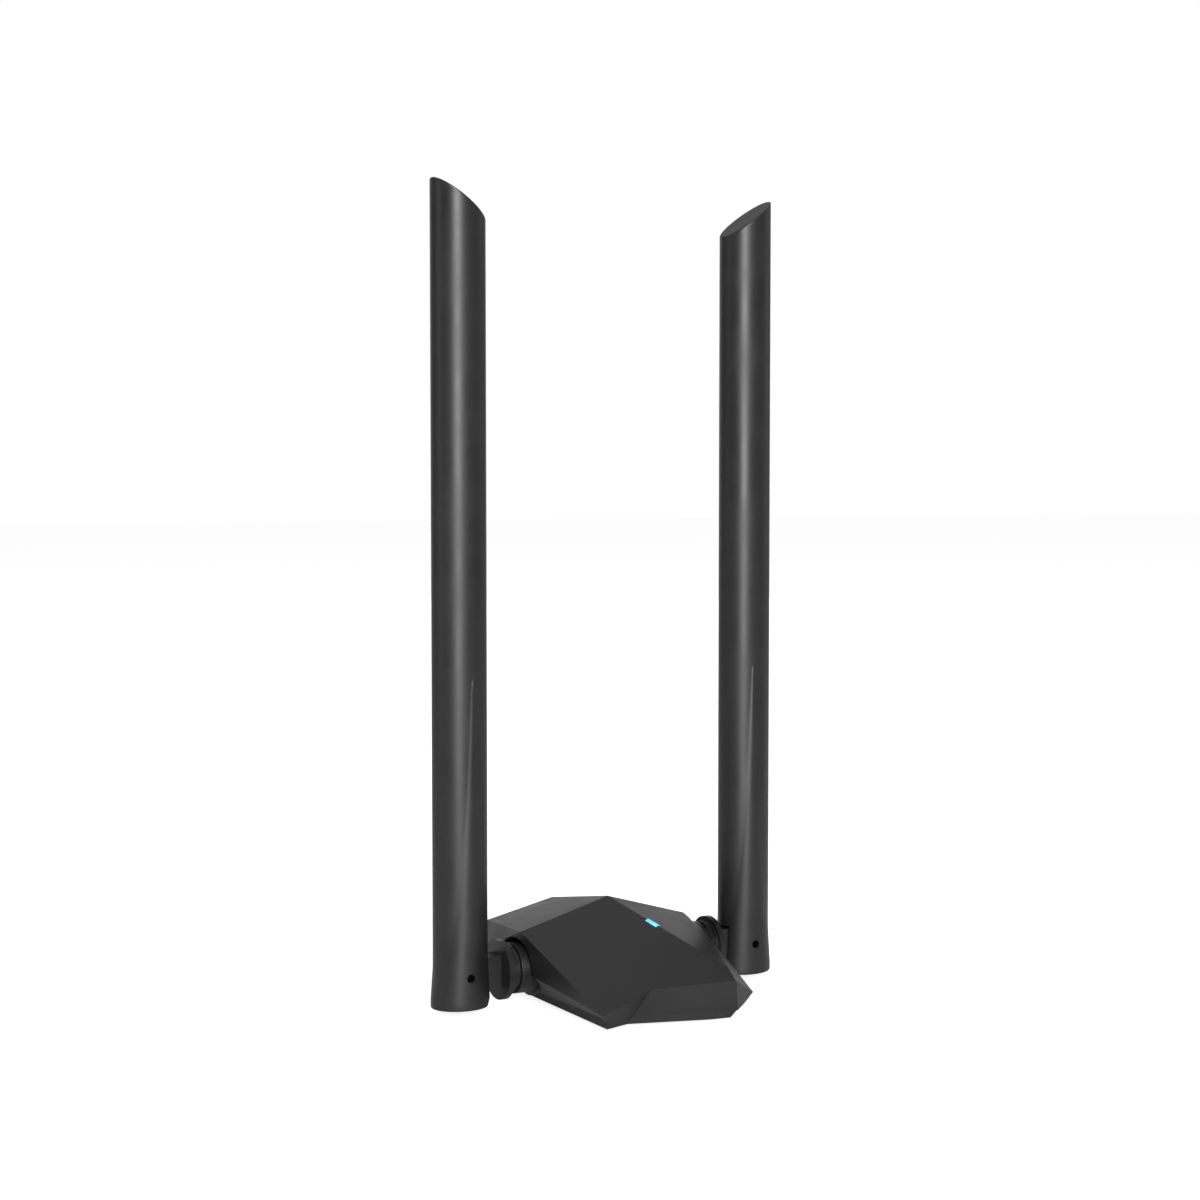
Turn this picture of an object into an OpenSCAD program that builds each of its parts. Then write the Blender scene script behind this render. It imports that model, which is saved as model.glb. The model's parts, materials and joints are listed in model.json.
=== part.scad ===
// Desktop USB wireless adapter: faceted base with two swivelling, folding paddle antennas.
// +Z is up, the front edge faces -Y, and z = 0 is the surface that the rest pad stands on.
// Each antenna turns about the X axis in the base's side bush, and folds outwards at its foot.

/* [Base] */
// Height of the top point of the faceted shell
apex_z = 23.95; // [22:0.05:26]
// Wall of the shell behind its front faces
wall = 1.5; // [1.2:0.1:2]
// Level of the underside of the bottom cover
cover_z = 0.6; // [0.4:0.1:1]
// Level of the seam between shell and cover
seam_z = 2.5; // [2.2:0.1:2.8]
// Depth of the rear wall behind the swivel axis
rear_y = 27.9; // [27:0.1:30]

/* [Swivels] */
// Height of the swivel axis
axis_z = 9.15; // [9:0.05:9.6]
// Radius of the swivel journal
journal_r = 4.5; // [4:0.1:4.6]
// Radial clearance of every turning fit
fit = 0.05; // [0.02:0.01:0.1]
// Radius of the barrel on both sides of the swivel gap
barrel_r = 6; // [5.6:0.1:6.2]
// Radius of the grip disc beside the antenna
disc_r = 7; // [6.6:0.1:7.2]
// Radius of the recess that the swivel turns in
recess_r = 7.2; // [7:0.1:7.6]

/* [Antennas] */
// Distance between the two antenna centre lines
antenna_gap = 77.74; // [77:0.1:90]
// Length of an antenna, foot to tip
antenna_h = 190; // [120:1:220]
// Half the width of an antenna along X
blade_a = 6.58; // [6.4:0.02:7]
// Half the depth of an antenna along Y
blade_b = 5.52; // [5.4:0.02:6]
// How much wider the foot is than the blade
foot_flare = 1.08; // [1.04:0.01:1.1]
// Height at which the pointed facet of the foot ends
facet_h = 77.5; // [50:0.5:90]
// Slope of the cut tip, rise over run
tip_slope = 0.725; // [0.5:0.005:1]
// Height of the hinge pin above the foot of the antenna
pin_h = 7.5; // [7:0.1:8]
// Radius of the hinge pins
pin_r = 0.95; // [0.8:0.05:1.1]

/* [Electronics] */
// Thickness of the circuit board
board_t = 1.2; // [0.8:0.1:1.6]
// Radius of the antenna leads
lead_r = 0.57; // [0.4:0.01:0.65]

/* [Hidden] */
$fn = 48;
eps = 0.01;
shell_black = [0.055, 0.055, 0.06];
blade_black = [0.09, 0.09, 0.095];
board_green = [0.03, 0.16, 0.09];

board_z = 4.6;                      // underside of the circuit board
board_top = board_z + board_t;
pivot_x = antenna_gap / 2;          // distance of a hinge pin from the middle plane
foot_z = axis_z - pin_h;            // lowest point of an antenna
slot_w = 5.6;                       // slot in an antenna's foot
tongue_w = 4.8;                     // tongue that the slot takes
tongue_r = 3.8;                     // round end of the tongue
lead_gap = 2.4;                     // split in the tongue's end for the lead
bevel_h = 3.2;                      // height of the sloped inner corner of the foot
bevel_turn = 37;
disc_x = pivot_x - 9.45;            // outer face of the grip disc
barrel_x = disc_x - 1.4;
gap_x = barrel_x - 1.6;             // start of the swivel gap
bush_x = gap_x - 0.7;               // outer end of the bush
recess_x = 20.4;                    // floor of the side recess
bush_end = 13.9;
journal_end = 11.8;
clip_x = 12.9;
clip_t = 0.7;
clip_seat_r = 3.9;
bore_r = 1.2;                       // way for the lead through the swivel
screw_spots = [[-15, -28], [15, -28], [-14, 21.5], [14, 21.5]];
post_spots = [[-10, -20], [10, -20], [-8, 18], [8, 18]];
led_spot = [4.75, -13.6];
led_turn = -70;

// Points of the upper facets: the apex, the side ridges, the front edge and the rear roof
roof_points = [
    [0, -0.6, apex_z], [0, rear_y, 18.95], [-24.6, -2.7, 18.05], [-25.2, 6, 14.65],
    [-25.6, 14, 11.15],
    [-21.5, 21, 16.45], [21.5, 21, 16.45], [23, 2.5, 17.2], [23.6, -5.3, 14.65],
    [-22.85, -18.2, 11.75], [18.5, -18, 11.2], [-21, -35.7, 4.5], [21.35, -31.5, 4.5],
    [11.7, -39.15, 9.56], [12.46, -34.6, 11.7]
];
// The line in which the two front faces meet, and a far point on each face's upper edge
valley = [[-7.2, -33, 8.45], [-10.5, -31, 2.5]];
front_ends = [[-20.8, -35.4, 4.6], [11.6, -38.8, 9.7]];
// Outline of the shell's lower edge, and of the cover's underside just inside it
seam_outline = [
    [-18.5, -33.4], [12.6, -38.2], [18.7, -32.2],
    [18.5, 8], [17.5, 26.4], [-17.5, 26.4], [-18.5, 8]
];
base_outline = [
    [-18, -32.5], [12.1, -36.2], [17.8, -30.4],
    [17.6, 8], [16.6, 25.6], [-16.6, 25.6], [-17.6, 8]
];

function lift(outline, z) = [for (p = outline) [p[0], p[1], z]];

module hull_of(points) {
    hull() polyhedron(points, [[for (i = [0 : len(points) - 1]) i]]);
}

// The wedge of air in front of the two front faces, moved backwards by back
module front_notch(back = 0) {
    run = valley[0] - valley[1];
    line = [valley[0] + run, valley[1] - 0.6 * run];
    aims = [for (end = front_ends) 2 * (end - valley[0])];
    translate([0, back, 0])
        hull_of(concat(line, [for (aim = aims) for (p = line) p + aim]));
}

module shell_solid() {
    difference() {
        hull_of(concat(roof_points, lift(seam_outline, seam_z)));
        front_notch();
    }
}

module cavity() {
    middle = [0, -4, seam_z];
    shrink = [0.9, 0.945, 0.91];
    translate(middle) hull_of([
        for (p = concat(roof_points, lift(seam_outline, seam_z - 2)))
            [(p[0] - middle[0]) * shrink[0], (p[1] - middle[1]) * shrink[1],
             (p[2] - middle[2]) * shrink[2]]
    ]);
}

// A cylinder along the swivel axis, from x1 outwards to x2, on side s (-1 left, 1 right)
module on_axis(s, x1, x2, r) {
    translate([s * x1, 0, axis_z]) rotate([0, s * 90, 0]) cylinder(r = r, h = x2 - x1);
}

module light_slot(grow = 0) {
    translate([led_spot[0], led_spot[1], board_top + 1])
        rotate([0, 0, led_turn])
            translate([-1.6 - grow, -0.7 - grow, 0])
                cube([3.2 + 2 * grow, 1.4 + 2 * grow, 20]);
}

module usb_opening(grow = 0) {
    translate([-4.5 - grow, 19, board_top - grow]) cube([9 + 2 * grow, 7.6, 3.3 + 2 * grow]);
}

module top_shell() {
    color(shell_black) difference() {
        shell_solid();
        difference() {
            cavity();
            for (s = [-1, 1]) on_axis(s, recess_x - 1.6, 32, recess_r + 1.2);
            for (p = screw_spots) translate([p[0], p[1], seam_z - 3]) cylinder(r = 2.3, h = 20);
            front_notch(wall);
        }
        for (s = [-1, 1]) {
            on_axis(s, recess_x, 40, recess_r);
            on_axis(s, 10, recess_x + 1, barrel_r);
        }
        for (p = screw_spots) translate([p[0], p[1], seam_z - 1]) cylinder(r = 0.95, h = 6);
        light_slot(0.03);
        translate([0, 1.2, 0]) usb_opening(0.25);
    }
}

module bottom_cover() {
    color(shell_black * 0.8) difference() {
        union() {
            difference() {
                hull_of(concat(lift(base_outline, cover_z),
                               lift([for (p = seam_outline) p * 0.985], seam_z)));
                front_notch(0.3);
            }
            for (p = post_spots)
                translate([p[0], p[1], seam_z - eps]) cylinder(r = 1.7, h = board_z - seam_z + eps);
        }
        translate([0, 0, cover_z - 1]) linear_extrude(1.4) pad_outline(0.1);
        for (p = screw_spots) translate([p[0], p[1], cover_z - 1]) {
            cylinder(r = 2.25, h = 1.9);
            cylinder(r = 1.3, h = 5);
        }
        translate([0, -3, seam_z]) linear_extrude(0.6, center = true) square([20, 30], center = true);
    }
}

module pad_outline(grow = 0) {
    offset(r = 3 + grow) square([18, 36], center = true);
}

module rest_pad() {
    color([0.12, 0.12, 0.12]) linear_extrude(cover_z + 0.35) pad_outline();
}

module cover_screws() {
    color("silver") for (p = screw_spots) translate([p[0], p[1], cover_z + 0.15]) difference() {
        union() {
            cylinder(r = 2.1, h = 0.75);
            cylinder(r = 0.9, h = 5.6);
        }
        for (a = [0, 90]) rotate([0, 0, a]) cube([2.4, 0.5, 0.8], center = true);
    }
}

module light_window() {
    color([0.3, 0.75, 0.95]) intersection() {
        light_slot();
        translate([0, 0, 0.12]) shell_solid();
    }
}

module main_board() {
    color(board_green) translate([0, 0, board_z]) {
        translate([-13.4, -24, 0]) cube([26.8, 15.5, board_t]);
        translate([-10.6, -8.5 - eps, 0]) cube([21.2, 32.5, board_t]);
    }
}

module status_led() {
    color("white") translate([led_spot[0], led_spot[1], board_top]) rotate([0, 0, led_turn])
        translate([-0.8, -0.4, 0]) cube([1.6, 0.8, 0.6]);
}

module radio_shield() {
    color("silver") translate([-12.5, -22.5, board_top]) difference() {
        cube([14, 13, 1.9]);
        translate([0.3, 0.3, -1]) cube([13.4, 12.4, 2.6]);
    }
}

module radio_chip() {
    color([0.1, 0.1, 0.1]) translate([-9, -20, board_top]) cube([7, 7, 0.85]);
}

module crystal() {
    color("silver") translate([4.6, 12.5, board_top]) cube([3.2, 2.5, 0.8]);
}

module usb_socket() {
    color("silver") difference() {
        usb_opening();
        translate([-4.2, 20, board_top + 0.3]) cube([8.4, 8, 2.7]);
    }
}

module usb_contacts() {
    color("gold") translate([-3.3, 20, board_top + 1.3]) cube([6.6, 5.2, 0.7]);
}

module bush(s) {
    color(shell_black) difference() {
        union() {
            on_axis(s, bush_end, bush_x, barrel_r - 0.02);
            on_axis(s, recess_x, recess_x + 1, recess_r - 0.3);
        }
        on_axis(s, bush_end - 1, bush_x + 1, journal_r + fit);
    }
}

module knuckle(s) {
    color(blade_black) difference() {
        union() {
            on_axis(s, journal_end, gap_x + eps, journal_r);
            difference() {
                on_axis(s, gap_x, barrel_x + eps, barrel_r);
                for (a = [45 : 90 : 315])
                    translate([s * (gap_x + 0.4), 0, axis_z]) rotate([a, 0, 0])
                        translate([0, 0, barrel_r]) cube([2, 4, 1.2], center = true);
            }
            on_axis(s, barrel_x, disc_x, disc_r);
            translate([s * (disc_x + pivot_x) / 2, 0, axis_z])
                cube([pivot_x - disc_x + 2 * eps, tongue_w, 2 * tongue_r], center = true);
            translate([s * pivot_x, 0, axis_z]) rotate([90, 0, 0])
                cylinder(r = tongue_r, h = tongue_w, center = true);
        }
        on_axis(s, journal_end - 1, pivot_x, bore_r);
        translate([s * pivot_x, 0, axis_z]) rotate([90, 0, 0])
            cylinder(r = pin_r + fit, h = 20, center = true);
        translate([s * (pivot_x + 2.4), 0, axis_z + 2.4])
            cube([7.2, lead_gap, 7.2], center = true);
        difference() {
            on_axis(s, clip_x - 0.05, clip_x + clip_t + 0.05, journal_r + 1);
            on_axis(s, clip_x - 1, clip_x + clip_t + 1, clip_seat_r);
        }
    }
}

module swivel_clip(s) {
    color("silver") difference() {
        on_axis(s, clip_x, clip_x + clip_t, 5.6);
        on_axis(s, clip_x - 1, clip_x + clip_t + 1, clip_seat_r + 0.02);
        translate([s * (clip_x + clip_t / 2), 0, axis_z - 5])
            cube([clip_t + 1, 4, 10], center = true);
    }
}

module friction_ring(s) {
    color([0.03, 0.03, 0.03]) difference() {
        on_axis(s, bush_x + 0.1, gap_x - 0.1, journal_r + 0.75);
        on_axis(s, bush_x - 1, gap_x + 1, journal_r);
    }
}

// The outline of an antenna at a scale of k, as a flat ellipse
module ellipse(k = 1, inset = 0) {
    scale([blade_a * k - inset, blade_b * k - inset]) circle(r = 1, $fn = 64);
}

module antenna(s) {
    color(blade_black) translate([s * pivot_x, 0, foot_z]) difference() {
        union() {
            linear_extrude(antenna_h) ellipse();
            hull() {
                linear_extrude(0.1) ellipse(foot_flare - 0.1);
                translate([0, 0, 1]) linear_extrude(1) ellipse(foot_flare);
                for (y = [-1, 1])
                    translate([-s * 0.8, y * (blade_b - 0.1), facet_h]) sphere(r = 0.15, $fn = 8);
            }
        }
        // Sloping tip, tallest on the outer side
        translate([s * blade_a, 0, antenna_h]) rotate([0, -s * atan(tip_slope), 0])
            translate([-30, -30, 0]) cube([60, 60, 40]);
        // Hollow for the radiator
        translate([0, 0, 15]) linear_extrude(antenna_h - 30) ellipse(1, 1.2);
        translate([0, 0, 8]) cylinder(r = 1, h = 10);
        // Slot for the tongue, open inwards and downwards
        translate([s * (4.4 - 10), 0, 4.4 + pin_h - 10]) cube([20, slot_w, 20], center = true);
        // Sloped inner corner that clears the grip disc
        translate([-s * blade_a * foot_flare, 0, bevel_h]) rotate([0, -s * bevel_turn, 0])
            translate([-s * 5, 0, 0]) cube([10, 30, 30], center = true);
        translate([0, 0, pin_h]) rotate([90, 0, 0]) cylinder(r = pin_r + fit, h = 30, center = true);
    }
}

module hinge_pins(s) {
    color("silver") for (y = [-1, 1])
        translate([s * pivot_x, y * 1.3, axis_z]) rotate([-y * 90, 0, 0])
            cylinder(r = pin_r, h = 3.6);
}

module radiator(s) {
    color([0.75, 0.6, 0.2]) translate([s * pivot_x - 3, -0.4, foot_z + 24]) cube([6, 0.8, 128]);
}

// A round lead that runs straight from point to point
module lead(points) {
    color([0.06, 0.06, 0.06]) for (i = [0 : len(points) - 2]) hull() {
        translate(points[i]) sphere(r = lead_r, $fn = 12);
        translate(points[i + 1]) sphere(r = lead_r, $fn = 12);
    }
}

module lead_plug(s) {
    color("gold") translate([s * 7, 9, board_top]) cylinder(r = 1.3, h = 1.2);
}

module board_lead(s) {
    lead([[s * 7, 9, board_top + 1.2 + lead_r], [s * 7.4, 5, axis_z - 0.6],
          [s * 8.6, 1.2, axis_z], [s * (journal_end - 1.6), 0, axis_z]]);
}

module swivel_lead(s) {
    color([0.06, 0.06, 0.06]) on_axis(s, journal_end - 0.6, pivot_x - 1.2, lead_r);
}

module antenna_lead(s) {
    color([0.06, 0.06, 0.06]) translate([s * pivot_x, 0, axis_z + 0.2]) cylinder(r = lead_r, h = 16);
}

top_shell();
bottom_cover();
rest_pad();
cover_screws();
light_window();
main_board();
status_led();
radio_shield();
radio_chip();
crystal();
usb_socket();
usb_contacts();
bush(-1);  // left_bush
bush(1);  // right_bush
lead_plug(-1);  // left_lead_plug
lead_plug(1);  // right_lead_plug
board_lead(-1);  // left_board_lead
board_lead(1);  // right_board_lead
knuckle(-1);  // left_knuckle
knuckle(1);  // right_knuckle
swivel_clip(-1);  // left_swivel_clip
swivel_clip(1);  // right_swivel_clip
friction_ring(-1);  // left_friction_ring
friction_ring(1);  // right_friction_ring
swivel_lead(-1);  // left_swivel_lead
swivel_lead(1);  // right_swivel_lead
antenna(-1);  // left_antenna
antenna(1);  // right_antenna
hinge_pins(-1);  // left_hinge_pins
hinge_pins(1);  // right_hinge_pins
radiator(-1);  // left_radiator
radiator(1);  // right_radiator
antenna_lead(-1);  // left_antenna_lead
antenna_lead(1);  // right_antenna_lead
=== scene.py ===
# Desktop USB wireless adapter: faceted base, two swivelling paddle antennas.
# Lengths are in metres. Each piece has one dictionary with what a user would change.
import json
import math

import bmesh
import bpy
import numpy as np
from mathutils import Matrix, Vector

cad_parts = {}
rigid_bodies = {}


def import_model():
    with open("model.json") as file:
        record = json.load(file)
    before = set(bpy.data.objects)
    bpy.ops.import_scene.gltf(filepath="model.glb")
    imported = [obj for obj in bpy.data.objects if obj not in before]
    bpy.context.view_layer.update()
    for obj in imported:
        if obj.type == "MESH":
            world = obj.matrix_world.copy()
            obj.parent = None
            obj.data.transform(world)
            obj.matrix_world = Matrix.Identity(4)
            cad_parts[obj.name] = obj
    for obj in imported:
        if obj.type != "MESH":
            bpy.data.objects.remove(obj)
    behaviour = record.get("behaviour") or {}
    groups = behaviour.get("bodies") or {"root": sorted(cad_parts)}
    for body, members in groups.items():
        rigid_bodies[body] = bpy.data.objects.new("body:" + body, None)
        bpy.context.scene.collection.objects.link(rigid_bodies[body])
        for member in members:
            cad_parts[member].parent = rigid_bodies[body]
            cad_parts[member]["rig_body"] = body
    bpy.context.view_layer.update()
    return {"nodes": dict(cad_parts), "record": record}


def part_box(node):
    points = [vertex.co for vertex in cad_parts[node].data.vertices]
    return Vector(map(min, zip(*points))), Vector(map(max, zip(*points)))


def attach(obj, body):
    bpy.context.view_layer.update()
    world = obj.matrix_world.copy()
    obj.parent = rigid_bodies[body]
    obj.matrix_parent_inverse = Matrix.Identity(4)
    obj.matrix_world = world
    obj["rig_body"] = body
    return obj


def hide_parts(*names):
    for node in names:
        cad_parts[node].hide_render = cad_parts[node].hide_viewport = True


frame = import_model()
sides = {"left": -1, "right": 1}
print("frame loaded:", len(frame["nodes"]), "nodes")

stageSettings = {
    "cameraAt": (-0.2582, -0.4567, 0.1228),
    "heading": 29.31,      # degrees from +Y towards +X
    "lookDown": 3.06,      # degrees below level
    "lens": 66.28,
    "floorSize": 12.0,
    "floorColour": (0.9, 0.9, 0.9, 1),
    "floorGlow": 0.8,      # only where the floor is seen directly
    "skyForLight": 0.2,
    "skyForCamera": 1.0,
}


def makeCamera(settings):
    data = bpy.data.cameras.new("viewCamera")
    data.lens = settings["lens"]
    data.sensor_width = 36
    data.clip_start = 0.01
    camera = bpy.data.objects.new("viewCamera", data)
    heading = math.radians(settings["heading"])
    down = math.radians(settings["lookDown"])
    look = Vector((math.sin(heading) * math.cos(down),
                   math.cos(heading) * math.cos(down),
                   -math.sin(down)))
    camera.location = settings["cameraAt"]
    camera.rotation_euler = look.to_track_quat("-Z", "Y").to_euler()
    bpy.context.scene.collection.objects.link(camera)
    bpy.context.scene.camera = camera


def makeSky(settings):
    world = bpy.data.worlds.new("studioSky")
    bpy.context.scene.world = world
    world.use_nodes = True
    nodes = world.node_tree.nodes
    links = world.node_tree.links
    nodes.clear()
    out = nodes.new("ShaderNodeOutputWorld")
    mix = nodes.new("ShaderNodeMixShader")
    path = nodes.new("ShaderNodeLightPath")
    lit = nodes.new("ShaderNodeBackground")
    seen = nodes.new("ShaderNodeBackground")
    lit.inputs["Strength"].default_value = settings["skyForLight"]
    seen.inputs["Strength"].default_value = settings["skyForCamera"]
    for sky in (lit, seen):
        sky.inputs["Color"].default_value = (1, 1, 1, 1)
    links.new(path.outputs["Is Camera Ray"], mix.inputs["Fac"])
    links.new(lit.outputs["Background"], mix.inputs[1])
    links.new(seen.outputs["Background"], mix.inputs[2])
    links.new(mix.outputs["Shader"], out.inputs["Surface"])


def makeFloor(settings):
    half = settings["floorSize"] / 2
    mesh = bpy.data.meshes.new("floor")
    corners = [(-half, -half, 0), (half, -half, 0), (half, half, 0), (-half, half, 0)]
    mesh.from_pydata(corners, [], [(0, 1, 2, 3)])
    floor = bpy.data.objects.new("floor", mesh)
    bpy.context.scene.collection.objects.link(floor)
    material = bpy.data.materials.new("floorPaper")
    material.use_nodes = True
    shader = material.node_tree.nodes["Principled BSDF"]
    shader.inputs["Base Color"].default_value = settings["floorColour"]
    shader.inputs["Roughness"].default_value = 0.9
    shader.inputs["Specular IOR Level"].default_value = 0.1
    shader.inputs["Emission Color"].default_value = (1, 1, 1, 1)
    path = material.node_tree.nodes.new("ShaderNodeLightPath")
    glow = material.node_tree.nodes.new("ShaderNodeMath")
    glow.operation = "MULTIPLY"
    glow.inputs[1].default_value = settings["floorGlow"]
    material.node_tree.links.new(path.outputs["Is Camera Ray"], glow.inputs[0])
    material.node_tree.links.new(glow.outputs["Value"], shader.inputs["Emission Strength"])
    mesh.materials.append(material)


lightSettings = [
    # name, place, what it points at, width, height, power
    ("overhead", (-0.1, 0.25, 1.1), (0, 0, 0), 1.9, 1.5, 3.6),
    ("frontStrip", (-0.31, -1.17, 0.26), (0, 0, 0.1), 0.36, 1.2, 24.0),
    ("backGlow", (0.6, 1.6, 0.35), (0, 0, 0.05), 3.0, 0.9, 5.0),
    ("leftRim", (-1.2, 0.1, 0.35), (0, 0, 0.1), 0.4, 1.1, 1.5),
    ("rightRim", (1.2, -0.1, 0.3), (0, 0, 0.1), 0.3, 1.1, 0.8),
]


def makeLights(rows):
    for name, place, target, width, height, power in rows:
        data = bpy.data.lights.new(name, "AREA")
        data.shape = "RECTANGLE"
        data.size = width
        data.size_y = height
        data.energy = power
        lamp = bpy.data.objects.new(name, data)
        lamp.location = place
        aim = Vector(target) - Vector(place)
        lamp.rotation_euler = aim.to_track_quat("-Z", "Y").to_euler()
        bpy.context.scene.collection.objects.link(lamp)


makeCamera(stageSettings)
makeSky(stageSettings)
makeFloor(stageSettings)
makeLights(lightSettings)
bpy.context.scene.view_settings.view_transform = "Standard"
print("stage made")


def startMaterial(name, colour, roughness, metal=0.0):
    material = bpy.data.materials.new(name)
    material.use_nodes = True
    shader = material.node_tree.nodes["Principled BSDF"]
    shader.inputs["Base Color"].default_value = (*colour, 1)
    shader.inputs["Roughness"].default_value = roughness
    shader.inputs["Metallic"].default_value = metal
    return material, material.node_tree.nodes, material.node_tree.links, shader


def objectNoise(nodes, links, scale, detail=4.0, stretch=(1, 1, 1)):
    coords = nodes.new("ShaderNodeTexCoord")
    mapping = nodes.new("ShaderNodeMapping")
    mapping.inputs["Scale"].default_value = stretch
    noise = nodes.new("ShaderNodeTexNoise")
    noise.inputs["Scale"].default_value = scale
    noise.inputs["Detail"].default_value = detail
    links.new(coords.outputs["Object"], mapping.inputs["Vector"])
    links.new(mapping.outputs["Vector"], noise.inputs["Vector"])
    return noise.outputs["Fac"]


def spread(nodes, links, source, low, high):
    # output = low + (high - low) * source
    band = nodes.new("ShaderNodeMapRange")
    band.inputs["From Min"].default_value = 0.3
    band.inputs["From Max"].default_value = 0.7
    band.inputs["To Min"].default_value = low
    band.inputs["To Max"].default_value = high
    links.new(source, band.inputs["Value"])
    return band.outputs["Result"]


def tint(nodes, links, source, darkColour, lightColour):
    ramp = nodes.new("ShaderNodeValToRGB")
    ramp.color_ramp.elements[0].position = 0.32
    ramp.color_ramp.elements[1].position = 0.68
    ramp.color_ramp.elements[0].color = (*darkColour, 1)
    ramp.color_ramp.elements[1].color = (*lightColour, 1)
    links.new(source, ramp.inputs["Fac"])
    return ramp.outputs["Color"]


def addBump(nodes, links, shader, height, strength, distance):
    bump = nodes.new("ShaderNodeBump")
    bump.inputs["Strength"].default_value = strength
    bump.inputs["Distance"].default_value = distance
    links.new(height, bump.inputs["Height"])
    links.new(bump.outputs["Normal"], shader.inputs["Normal"])


def mouldedPlastic(name, colour, roughness, grain=2600, depth=0.12):
    # spark-eroded mould grain, a faint cloudiness in the colour and worn-in gloss
    material, nodes, links, shader = startMaterial(name, colour, roughness)
    clouds = objectNoise(nodes, links, 90, 3.0)
    lighter = [c * 1.18 + 0.0006 for c in colour]
    darker = [c * 0.86 for c in colour]
    links.new(tint(nodes, links, clouds, darker, lighter), shader.inputs["Base Color"])
    fine = objectNoise(nodes, links, grain, 5.0)
    gloss = spread(nodes, links, clouds, roughness - 0.04, roughness + 0.05)
    links.new(gloss, shader.inputs["Roughness"])
    addBump(nodes, links, shader, fine, depth, 0.00004)
    return material


def brushedMetal(name, colour, roughness):
    material, nodes, links, shader = startMaterial(name, colour, roughness, 1.0)
    lines = objectNoise(nodes, links, 900, 4.0, (0.08, 1, 1))
    darker = [c * 0.82 for c in colour]
    links.new(tint(nodes, links, lines, darker, colour), shader.inputs["Base Color"])
    links.new(spread(nodes, links, lines, roughness - 0.08, roughness + 0.1),
              shader.inputs["Roughness"])
    addBump(nodes, links, shader, lines, 0.1, 0.00002)
    return material


def softRubber(name, colour):
    material, nodes, links, shader = startMaterial(name, colour, 0.8)
    specks = objectNoise(nodes, links, 1500, 6.0)
    lighter = [c * 1.5 for c in colour]
    links.new(tint(nodes, links, specks, colour, lighter), shader.inputs["Base Color"])
    links.new(spread(nodes, links, specks, 0.72, 0.9), shader.inputs["Roughness"])
    addBump(nodes, links, shader, specks, 0.3, 0.00005)
    return material


def boardLacquer(name):
    # copper tracks under green solder mask: a brick pattern gives the right-angled runs
    material, nodes, links, shader = startMaterial(name, (0.02, 0.13, 0.07), 0.35)
    coords = nodes.new("ShaderNodeTexCoord")
    tracks = nodes.new("ShaderNodeTexBrick")
    tracks.inputs["Scale"].default_value = 260
    tracks.inputs["Mortar Size"].default_value = 0.06
    tracks.inputs["Color1"].default_value = (0.012, 0.1, 0.05, 1)
    tracks.inputs["Color2"].default_value = (0.016, 0.12, 0.06, 1)
    tracks.inputs["Mortar"].default_value = (0.05, 0.24, 0.12, 1)
    links.new(coords.outputs["Object"], tracks.inputs["Vector"])
    links.new(tracks.outputs["Color"], shader.inputs["Base Color"])
    addBump(nodes, links, shader, tracks.outputs["Fac"], 0.2, 0.00003)
    return material


def litWindow(name):
    material, nodes, links, shader = startMaterial(name, (0.08, 0.45, 0.8), 0.25)
    glow = objectNoise(nodes, links, 500, 1.0)
    links.new(tint(nodes, links, glow, (0.05, 0.38, 0.78), (0.2, 0.62, 0.95)),
              shader.inputs["Emission Color"])
    shader.inputs["Emission Strength"].default_value = 0.9
    return material


materials = {
    "shell_plastic": mouldedPlastic("shellPlastic", (0.0085, 0.0085, 0.009), 0.42),
    "cover_plastic": mouldedPlastic("coverPlastic", (0.012, 0.012, 0.0125), 0.5),
    "antenna_plastic": mouldedPlastic("antennaPlastic", (0.0105, 0.0105, 0.011), 0.4, 2200, 0.08),
    "swivel_plastic": mouldedPlastic("swivelPlastic", (0.008, 0.008, 0.0085), 0.38),
    "pad_rubber": softRubber("padRubber", (0.02, 0.02, 0.02)),
    "ring_rubber": softRubber("ringRubber", (0.008, 0.008, 0.008)),
    "lead_black": softRubber("leadJacket", (0.015, 0.015, 0.015)),
    "window_blue": litWindow("windowBlue"),
    # hinge pin steel painted near black: painted shade standing in for the dark of the recessed
    # pin hole
    "pin_steel": brushedMetal("pinSteel", (0.004, 0.004, 0.004), 0.7),
    "screw_steel": brushedMetal("screwSteel", (0.5, 0.5, 0.52), 0.32),
    "socket_steel": brushedMetal("socketSteel", (0.58, 0.58, 0.6), 0.26),
    "shield_tin": brushedMetal("shieldTin", (0.6, 0.6, 0.61), 0.4),
    "board_green": boardLacquer("boardGreen"),
    "chip_black": mouldedPlastic("chipEpoxy", (0.012, 0.012, 0.012), 0.6),
    "led_white": mouldedPlastic("ledResin", (0.7, 0.72, 0.7), 0.3),
    "contact_gold": brushedMetal("contactGold", (0.85, 0.6, 0.22), 0.22),
    "radiator_gold": brushedMetal("radiatorCopper", (0.7, 0.42, 0.2), 0.35),
}
slotOf = {row["node"]: row["material_slot"] for row in frame["record"]["subparts"]}
for nodeName, nodeObject in frame["nodes"].items():
    nodeObject.data.materials.clear()
    nodeObject.data.materials.append(materials[slotOf[nodeName]])
print("materials made:", len(materials))


def addObject(name, mesh):
    piece = bpy.data.objects.new(name, mesh)
    bpy.context.scene.collection.objects.link(piece)
    return piece


def place(piece, nodeName):
    # give a piece the body, finish and place of the CAD node it stands for
    piece.data.materials.clear()
    piece.data.materials.append(materials[slotOf[nodeName]])
    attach(piece, frame["nodes"][nodeName]["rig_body"])
    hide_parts(nodeName)


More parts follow.
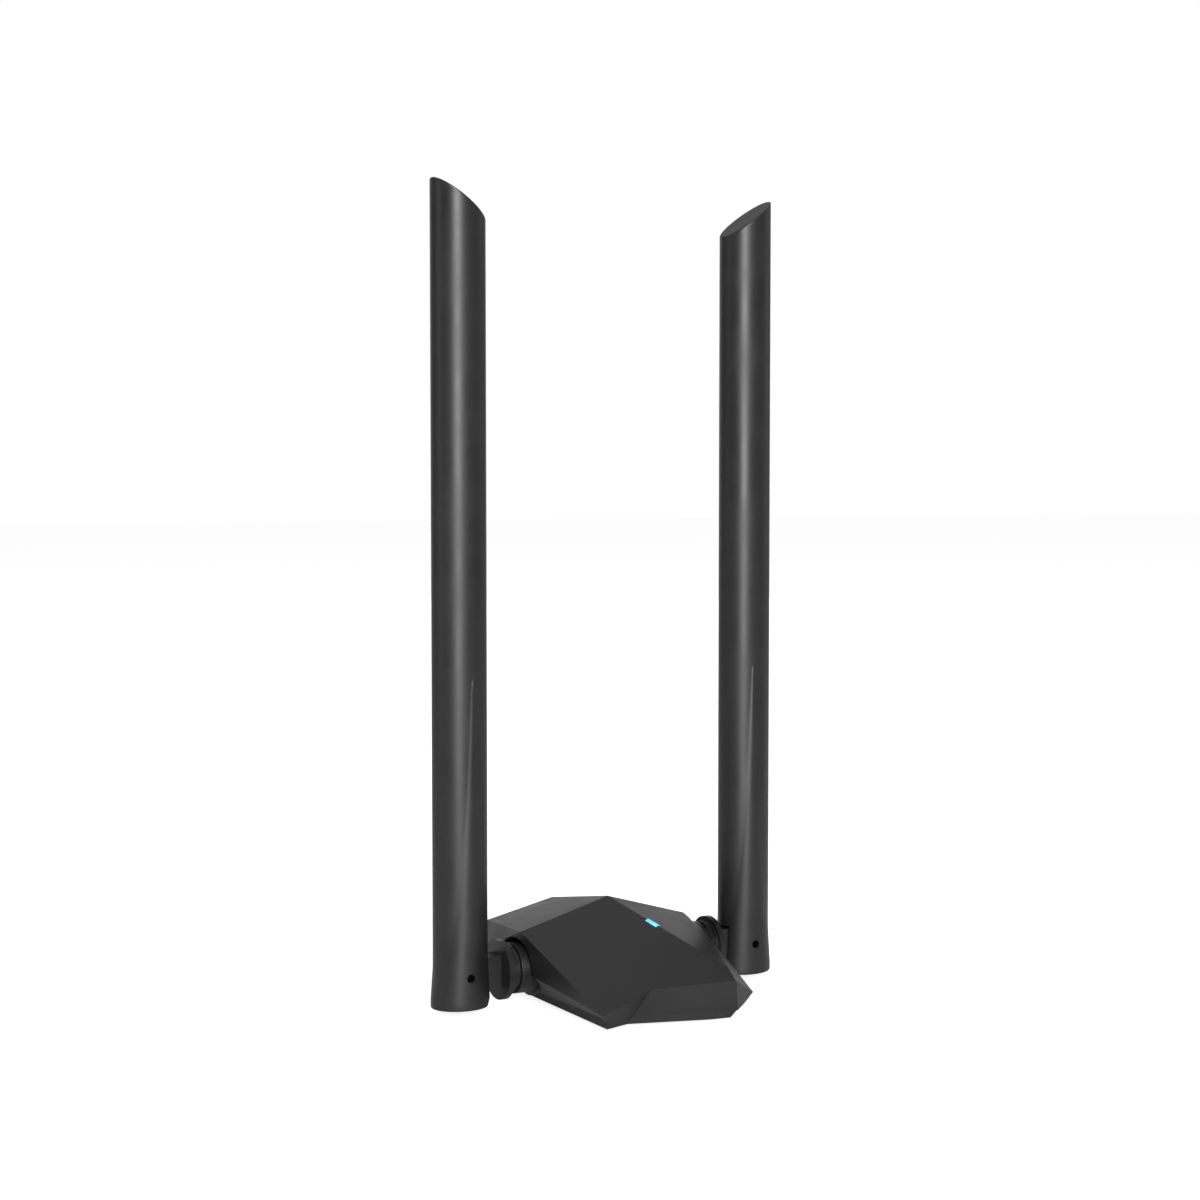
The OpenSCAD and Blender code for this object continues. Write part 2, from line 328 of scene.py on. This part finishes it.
def tubeMesh(name, rings):
    # rings is an array (ring, point, xyz); the first and last rings close on their middles
    count, around, _ = rings.shape
    middles = rings[[0, -1]].mean(axis=1)
    points = np.vstack([rings.reshape(-1, 3), middles])
    row, col = np.meshgrid(np.arange(count - 1), np.arange(around), indexing="ij")
    after = (col + 1) % around
    quads = np.stack([row * around + col, row * around + after,
                      (row + 1) * around + after, (row + 1) * around + col], -1).reshape(-1, 4)
    turn = np.arange(around)
    low = count * around
    bottom = np.stack([(turn + 1) % around, turn, np.full(around, low)], -1)
    last = (count - 1) * around
    top = np.stack([last + turn, last + (turn + 1) % around, np.full(around, low + 1)], -1)
    mesh = bpy.data.meshes.new(name)
    mesh.from_pydata(points.tolist(), [], quads.tolist() + bottom.tolist() + top.tolist())
    mesh.update()
    return mesh


def boxMesh(name, low, high):
    x, y, z = zip(low, high)
    corners = [(x[i], y[j], z[k]) for i in (0, 1) for j in (0, 1) for k in (0, 1)]
    faces = [(0, 1, 3, 2), (4, 6, 7, 5), (0, 4, 5, 1), (2, 3, 7, 6), (0, 2, 6, 4), (1, 5, 7, 3)]
    mesh = bpy.data.meshes.new(name)
    mesh.from_pydata(corners, [], faces)
    return mesh


def cutWith(piece, cutters):
    # take each cutter's volume out of the piece, then drop the cutters
    for cutter in cutters:
        step = piece.modifiers.new("cut", "BOOLEAN")
        step.operation = "DIFFERENCE"
        step.solver = "EXACT"
        step.object = cutter
    graph = bpy.context.evaluated_depsgraph_get()
    made = bpy.data.meshes.new_from_object(piece.evaluated_get(graph))
    piece.modifiers.clear()
    piece.data = made
    for cutter in cutters:
        bpy.data.objects.remove(cutter)


def smoothFaces(mesh, angle):
    mesh.polygons.foreach_set("use_smooth", np.ones(len(mesh.polygons), bool))
    mesh.set_sharp_from_angle(angle=math.radians(angle))


antenna = {
    "halfWidth": 0.00658,
    "halfDepth": 0.00552,
    "footFlare": 1.08,
    "facetTop": 0.0775,     # height at which the pointed facet ends
    "facetLean": 0.0008,    # how far that point leans inwards
    "tipSlope": 0.725,
    "edgeRound": 0.0004,
    "blend": 0.00009,       # softness of the line between blade and facet
    "around": 176,
    "along": 260,
    "slotHalf": 0.0028,
    "slotTop": 0.0119,
    "slotBack": 0.0044,
    "pinHeight": 0.0075,
    "pinRadius": 0.001,
    "bevelHeight": 0.0032,
    "bevelTurn": 37,
    "wall": 0.0012,
    "flareTop": 0.002,      # the foot keeps its full width below this height
    "pointProud": 0.00005,  # how far the facet's point stands out of the blade
    "bendStart": 0.15,      # height above which the rings lean towards the cut tip
    "rimHeight": 0.8,       # height of the tip's rounded rim, as a share of edgeRound
    "hollowStart": 0.015,
    "hollowEnd": 0.016,     # distance of the hollow's end below the tip
    "wayRadius": 0.001,     # way for the lead from the slot into the hollow
    "wayStart": 0.008,
    "wayEnd": 0.018,
}


def bladeRadius(angle, a, b):
    # polar radius of the ellipse x = a cos, y = b sin
    return 1 / np.sqrt((np.cos(angle) / a) ** 2 + (np.sin(angle) / b) ** 2)


def footRadius(angle, height, side, cfg):
    # polar radius of the body that runs from the wide foot ellipse to one point at the front
    # and one at the back: an ellipse shrunk by 1 - t, swept over a line that grows with t
    t = np.clip((height - cfg["flareTop"]) / (cfg["facetTop"] - cfg["flareTop"]), 0, 1)
    a = np.maximum((1 - t) * cfg["halfWidth"] * cfg["footFlare"], 1e-7)
    b = (1 - t) * cfg["halfDepth"] * cfg["footFlare"]
    reach = t * (cfg["halfDepth"] + cfg["pointProud"])
    middle = -side * cfg["facetLean"] * t
    # halve the range between the middle and a radius well outside until it closes on the skin
    low = np.zeros_like(angle)
    high = np.full_like(angle, 0.009)
    for _ in range(26):
        r = (low + high) / 2
        x = (r * np.cos(angle) - middle) / a
        inside = (np.abs(x) < 1) & (
            np.abs(r * np.sin(angle)) < reach + b * np.sqrt(np.clip(1 - x * x, 0, 1)))
        low = np.where(inside, r, low)
        high = np.where(inside, high, r)
    return low


def bladeRings(side, cfg, top, foot):
    # a grid of height by angle: r = soft maximum of blade and foot, z leans to the cut tip
    turn = np.linspace(0, 2 * np.pi, cfg["around"], endpoint=False)
    share = np.linspace(0, 1, cfg["along"])
    edge = cfg["edgeRound"]
    rim = edge * cfg["rimHeight"]
    length = top - foot
    height = np.concatenate([edge * (1 - np.cos(np.linspace(0, np.pi / 2, 6))),
                             edge + (length - edge) * share[1:]])
    angle, level = np.meshgrid(turn, height)
    blade = bladeRadius(angle, cfg["halfWidth"], cfg["halfDepth"])
    wide = footRadius(angle, level, side, cfg)
    # soft maximum: (p + q + sqrt((p - q)^2 + k^2)) / 2
    radius = (blade + wide + np.sqrt((blade - wide) ** 2 + cfg["blend"] ** 2)) / 2
    radius -= cfg["blend"] / 2
    rounding = np.clip(1 - level / edge, 0, 1)
    radius -= edge * (1 - np.sqrt(1 - rounding ** 2))
    x = radius * np.cos(angle)
    y = radius * np.sin(angle)
    drop = cfg["tipSlope"] * (cfg["halfWidth"] - side * x)
    lean = np.clip((level - cfg["bendStart"]) / (length - cfg["bendStart"]), 0, 1) ** 2
    z = level - drop * lean
    body = np.stack([x, y, z], -1)
    # the cut face: the last ring drawn in towards the middle, with a rounded rim
    lastRing = body[-1]

    def cutRing(start, shrink, rise):
        ring = start.copy()
        ring[:, :2] *= shrink
        ring[:, 2] = length - cfg["tipSlope"] * (cfg["halfWidth"] - side * ring[:, 0]) + rise
        return ring

    bend = np.linspace(0, np.pi / 2, 5)[1:]
    pull = 1 - edge * (1 - np.cos(bend)) / cfg["halfDepth"]
    cap = [cutRing(lastRing, k, rise) for k, rise in zip(pull, rim * np.sin(bend) - rim)]
    body[-1, :, 2] -= rim
    body[-2, :, 2] -= rim / 2
    flatRim = cap[-1]
    cap += [cutRing(flatRim, k, 0) for k in (0.8, 0.5, 0.2)]
    base = body[0]
    under = [np.column_stack([base[:, 0] * k, base[:, 1] * k, base[:, 2]]) for k in (0.3, 0.7)]
    return np.concatenate([np.array(under), body, np.array(cap)])


def antennaCutters(name, side, cfg, middle, foot, top):
    turn = np.linspace(0, 2 * np.pi, 48, endpoint=False)
    slotX = sorted((middle + side * cfg["slotBack"], middle - side * 0.012))
    slot = boxMesh(name + "Slot", (slotX[0], -cfg["slotHalf"], foot - 0.005),
                   (slotX[1], cfg["slotHalf"], foot + cfg["slotTop"]))
    pinZ = foot + cfg["pinHeight"]
    ring = np.column_stack([middle + cfg["pinRadius"] * np.cos(turn), 0 * turn,
                            pinZ - cfg["pinRadius"] * np.sin(turn)])
    hole = tubeMesh(name + "Hole", np.array([ring + [0, y, 0] for y in (-0.01, 0.01)]))
    oval = np.column_stack([
        middle + (cfg["halfWidth"] - cfg["wall"]) * np.cos(turn),
        (cfg["halfDepth"] - cfg["wall"]) * np.sin(turn), 0 * turn])
    hollow = tubeMesh(name + "Hollow",
                      np.array([oval + [0, 0, z] for z in
                                (foot + cfg["hollowStart"], top - cfg["hollowEnd"])]))
    way = np.column_stack([middle + cfg["wayRadius"] * np.cos(turn),
                           cfg["wayRadius"] * np.sin(turn), 0 * turn])
    leadWay = tubeMesh(name + "Way", np.array([way + [0, 0, foot + z] for z in
                                               (cfg["wayStart"], cfg["wayEnd"])]))
    wedge = boxMesh(name + "Wedge", (-0.01, -0.02, -0.02), (0, 0.02, 0.02))
    turnBy = math.radians(cfg["bevelTurn"])
    corners = np.array([v.co for v in wedge.vertices])
    x = corners[:, 0] * math.cos(turnBy) - corners[:, 2] * math.sin(turnBy)
    z = corners[:, 0] * math.sin(turnBy) + corners[:, 2] * math.cos(turnBy)
    x = side * x + middle - side * cfg["halfWidth"] * cfg["footFlare"]
    z = z + foot + cfg["bevelHeight"]
    wedge.vertices.foreach_set("co", np.column_stack([x, corners[:, 1], z]).ravel())
    if side < 0:
        wedge.flip_normals()
    return [addObject(m.name, m) for m in (slot, hole, hollow, leadWay, wedge)]


def makeAntenna(sideName, side, cfg):
    nodeName = sideName + "_antenna"
    low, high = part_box(nodeName)
    pinLow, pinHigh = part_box(sideName + "_hinge_pins")
    middle = (pinLow.x + pinHigh.x) / 2
    rings = bladeRings(side, cfg, high.z, low.z)
    rings = rings + [middle, 0, low.z]
    blade = addObject(sideName + "AntennaBlade", tubeMesh(sideName + "AntennaBlade", rings))
    cutWith(blade, antennaCutters(sideName, side, cfg, middle, low.z, high.z))
    smoothFaces(blade.data, 32)
    place(blade, nodeName)
    print(blade.name, len(blade.data.polygons), "faces")


for sideName, side in sides.items():
    makeAntenna(sideName, side, antenna)

softEdges = {
    # node: width of the rounded edges, smallest angle that is rounded
    "top_shell": (0.00022, 9),
    "bottom_cover": (0.00015, 20),
    "left_knuckle": (0.00018, 30),
    "right_knuckle": (0.00018, 30),
    "left_bush": (0.00018, 30),
    "right_bush": (0.00018, 30),
    "rest_pad": (0.0002, 30),
    "usb_socket": (0.00008, 40),
}


def pieceName(nodeName):
    first, *rest = nodeName.split("_")
    return first + "".join(word.capitalize() for word in rest) + "Moulded"


def makeSoftEdged(nodeName, width, angle):
    mesh = frame["nodes"][nodeName].data.copy()
    work = bmesh.new()
    work.from_mesh(mesh)
    bmesh.ops.remove_doubles(work, verts=work.verts, dist=2e-6)
    bmesh.ops.dissolve_limit(work, angle_limit=math.radians(0.6),
                             verts=work.verts, edges=work.edges)
    limit = math.radians(angle)
    sharp = [e for e in work.edges if len(e.link_faces) == 2 and e.calc_face_angle(0) > limit]
    bmesh.ops.bevel(work, geom=sharp, offset=width, offset_type="OFFSET", segments=2,
                    profile=0.5, affect="EDGES", clamp_overlap=True)
    work.to_mesh(mesh)
    work.free()
    mesh.name = pieceName(nodeName)
    piece = addObject(pieceName(nodeName), mesh)
    smoothFaces(mesh, 45)
    even = piece.modifiers.new("evenShading", "WEIGHTED_NORMAL")
    even.keep_sharp = True
    even.weight = 100
    place(piece, nodeName)
    print(piece.name, len(mesh.polygons), "faces")


for nodeName, (width, angle) in softEdges.items():
    makeSoftEdged(nodeName, width, angle)
